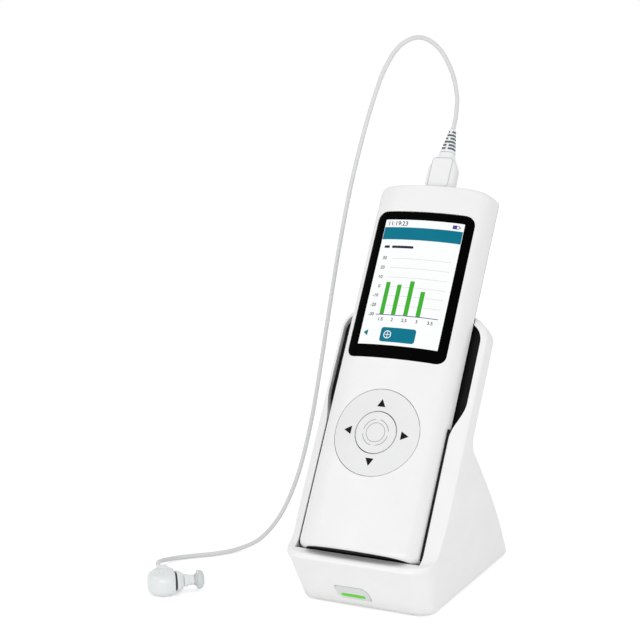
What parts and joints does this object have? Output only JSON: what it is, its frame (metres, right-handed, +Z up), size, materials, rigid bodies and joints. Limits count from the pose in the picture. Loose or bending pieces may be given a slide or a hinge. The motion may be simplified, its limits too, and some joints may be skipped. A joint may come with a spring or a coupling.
{
  "type": "handheld hearing screener in charging dock",
  "caption": "Slim handset with a crowned face, colour display and round four-way key pad, leaning in a charging dock, with an ear probe on a cord plugged into its top.",
  "frame": {"origin": "on the table, under the middle of the dock and handset together", "axes": "+X to the right as seen from in front, -Y the way the dock and the handset's face look, +Z up; the handset leans back 31.4 degrees"},
  "size_m": [0.164, 0.1576, 0.2742],
  "materials": {
    "shell_white": "satin white moulding",
    "dock_white": "fine satin white moulding",
    "key_grey": "pale grey keys",
    "case_black": "satin black",
    "window_black": "polished black window",
    "light_green": "lit light guide",
    "badge_grey": "pale grey plate, bare",
    "board_green": "solder mask",
    "panel_grey": "plain",
    "cell_grey": "wrapped cell",
    "rubber_grey": "plain",
    "steel": "plain",
    "contact_gold": "gold plated",
    "cord_white": "soft white moulding",
    "probe_white": "satin",
    "sleeve_green": "soft, slightly clear",
    "seal_dark": "plain",
    "tip_clear": "soft silicone"
  },
  "bodies": {
    "dock": {"dock_housing": "dock_white", "cradle_liner": "case_black", "contact_block": "case_black", "dock_base_plate": "dock_white", "dock_foot_1": "rubber_grey", "dock_foot_2": "rubber_grey", "dock_foot_3": "rubber_grey", "dock_foot_4": "rubber_grey", "base_screw_1": "steel", "base_screw_2": "steel", "base_screw_3": "steel", "base_screw_4": "steel", "dock_board": "board_green", "badge_plate": "badge_grey", "status_light": "light_green", "power_inlet": "steel"},
    "handset": {"front_shell": "shell_white", "rear_cover": "case_black", "display_window": "window_black", "display_module": "panel_grey", "keypad_mat": "rubber_grey", "main_board": "board_green", "battery": "cell_grey", "probe_socket": "panel_grey", "charge_pad_left": "contact_gold", "charge_pad_right": "contact_gold", "rear_screw_1": "steel", "rear_screw_2": "steel", "rear_screw_3": "steel", "rear_screw_4": "steel"},
    "nav_rocker": {"nav_rocker": "panel_grey"},
    "nav_ring": {"nav_ring": "key_grey"},
    "center_button": {"center_button": "key_grey"},
    "plug": {"plug_overmould": "cord_white", "plug_tongue": "steel", "strain_relief": "cord_white", "probe_cord": "cord_white", "probe_sleeve": "sleeve_green", "probe_body": "probe_white", "probe_seal": "seal_dark", "probe_collar": "probe_white", "probe_nozzle": "probe_white"},
    "ear_tip": {"ear_tip": "tip_clear"},
    "charge_pin_left": {"charge_pin_left": "contact_gold"},
    "charge_pin_right": {"charge_pin_right": "contact_gold"}
  },
  "joints": [
    {"name": "handset_lift", "type": "slide", "parent": "dock", "child": "handset", "axis": [0, 0.521, 0.8536], "range_m": [0, 0.14]},
    {"name": "nav_tilt_up_down", "type": "hinge", "parent": "handset", "child": "nav_rocker", "pos_m": [0, -0.0251, 0.08143], "axis": [1, 0, 0], "range_deg": [-1.5, 1.5], "stiffness_Nm_per_rad": 0.5},
    {"name": "nav_tilt_left_right", "type": "hinge", "parent": "nav_rocker", "child": "nav_ring", "pos_m": [0, -0.02783, 0.0831], "axis": [0, 0.521, 0.8536], "range_deg": [-1.5, 1.5], "stiffness_Nm_per_rad": 0.5},
    {"name": "center_button_press", "type": "slide", "parent": "handset", "child": "center_button", "axis": [0, -0.8536, 0.521], "range_m": [-0.0005, 0], "stiffness_N_per_m": 800},
    {"name": "plug_pull", "type": "slide", "parent": "handset", "child": "plug", "axis": [0, 0.521, 0.8536], "range_m": [0, 0.012]},
    {"name": "ear_tip_pull", "type": "slide", "parent": "plug", "child": "ear_tip", "axis": [0.788, 0.6157, 0], "range_m": [0, 0.006]},
    {"name": "charge_pin_left_press", "type": "slide", "parent": "dock", "child": "charge_pin_left", "axis": [0, 0.521, 0.8536], "range_m": [-0.0008, 0], "stiffness_N_per_m": 400},
    {"name": "charge_pin_right_press", "type": "slide", "parent": "dock", "child": "charge_pin_right", "axis": [0, 0.521, 0.8536], "range_m": [-0.0008, 0], "stiffness_N_per_m": 400}
  ]
}
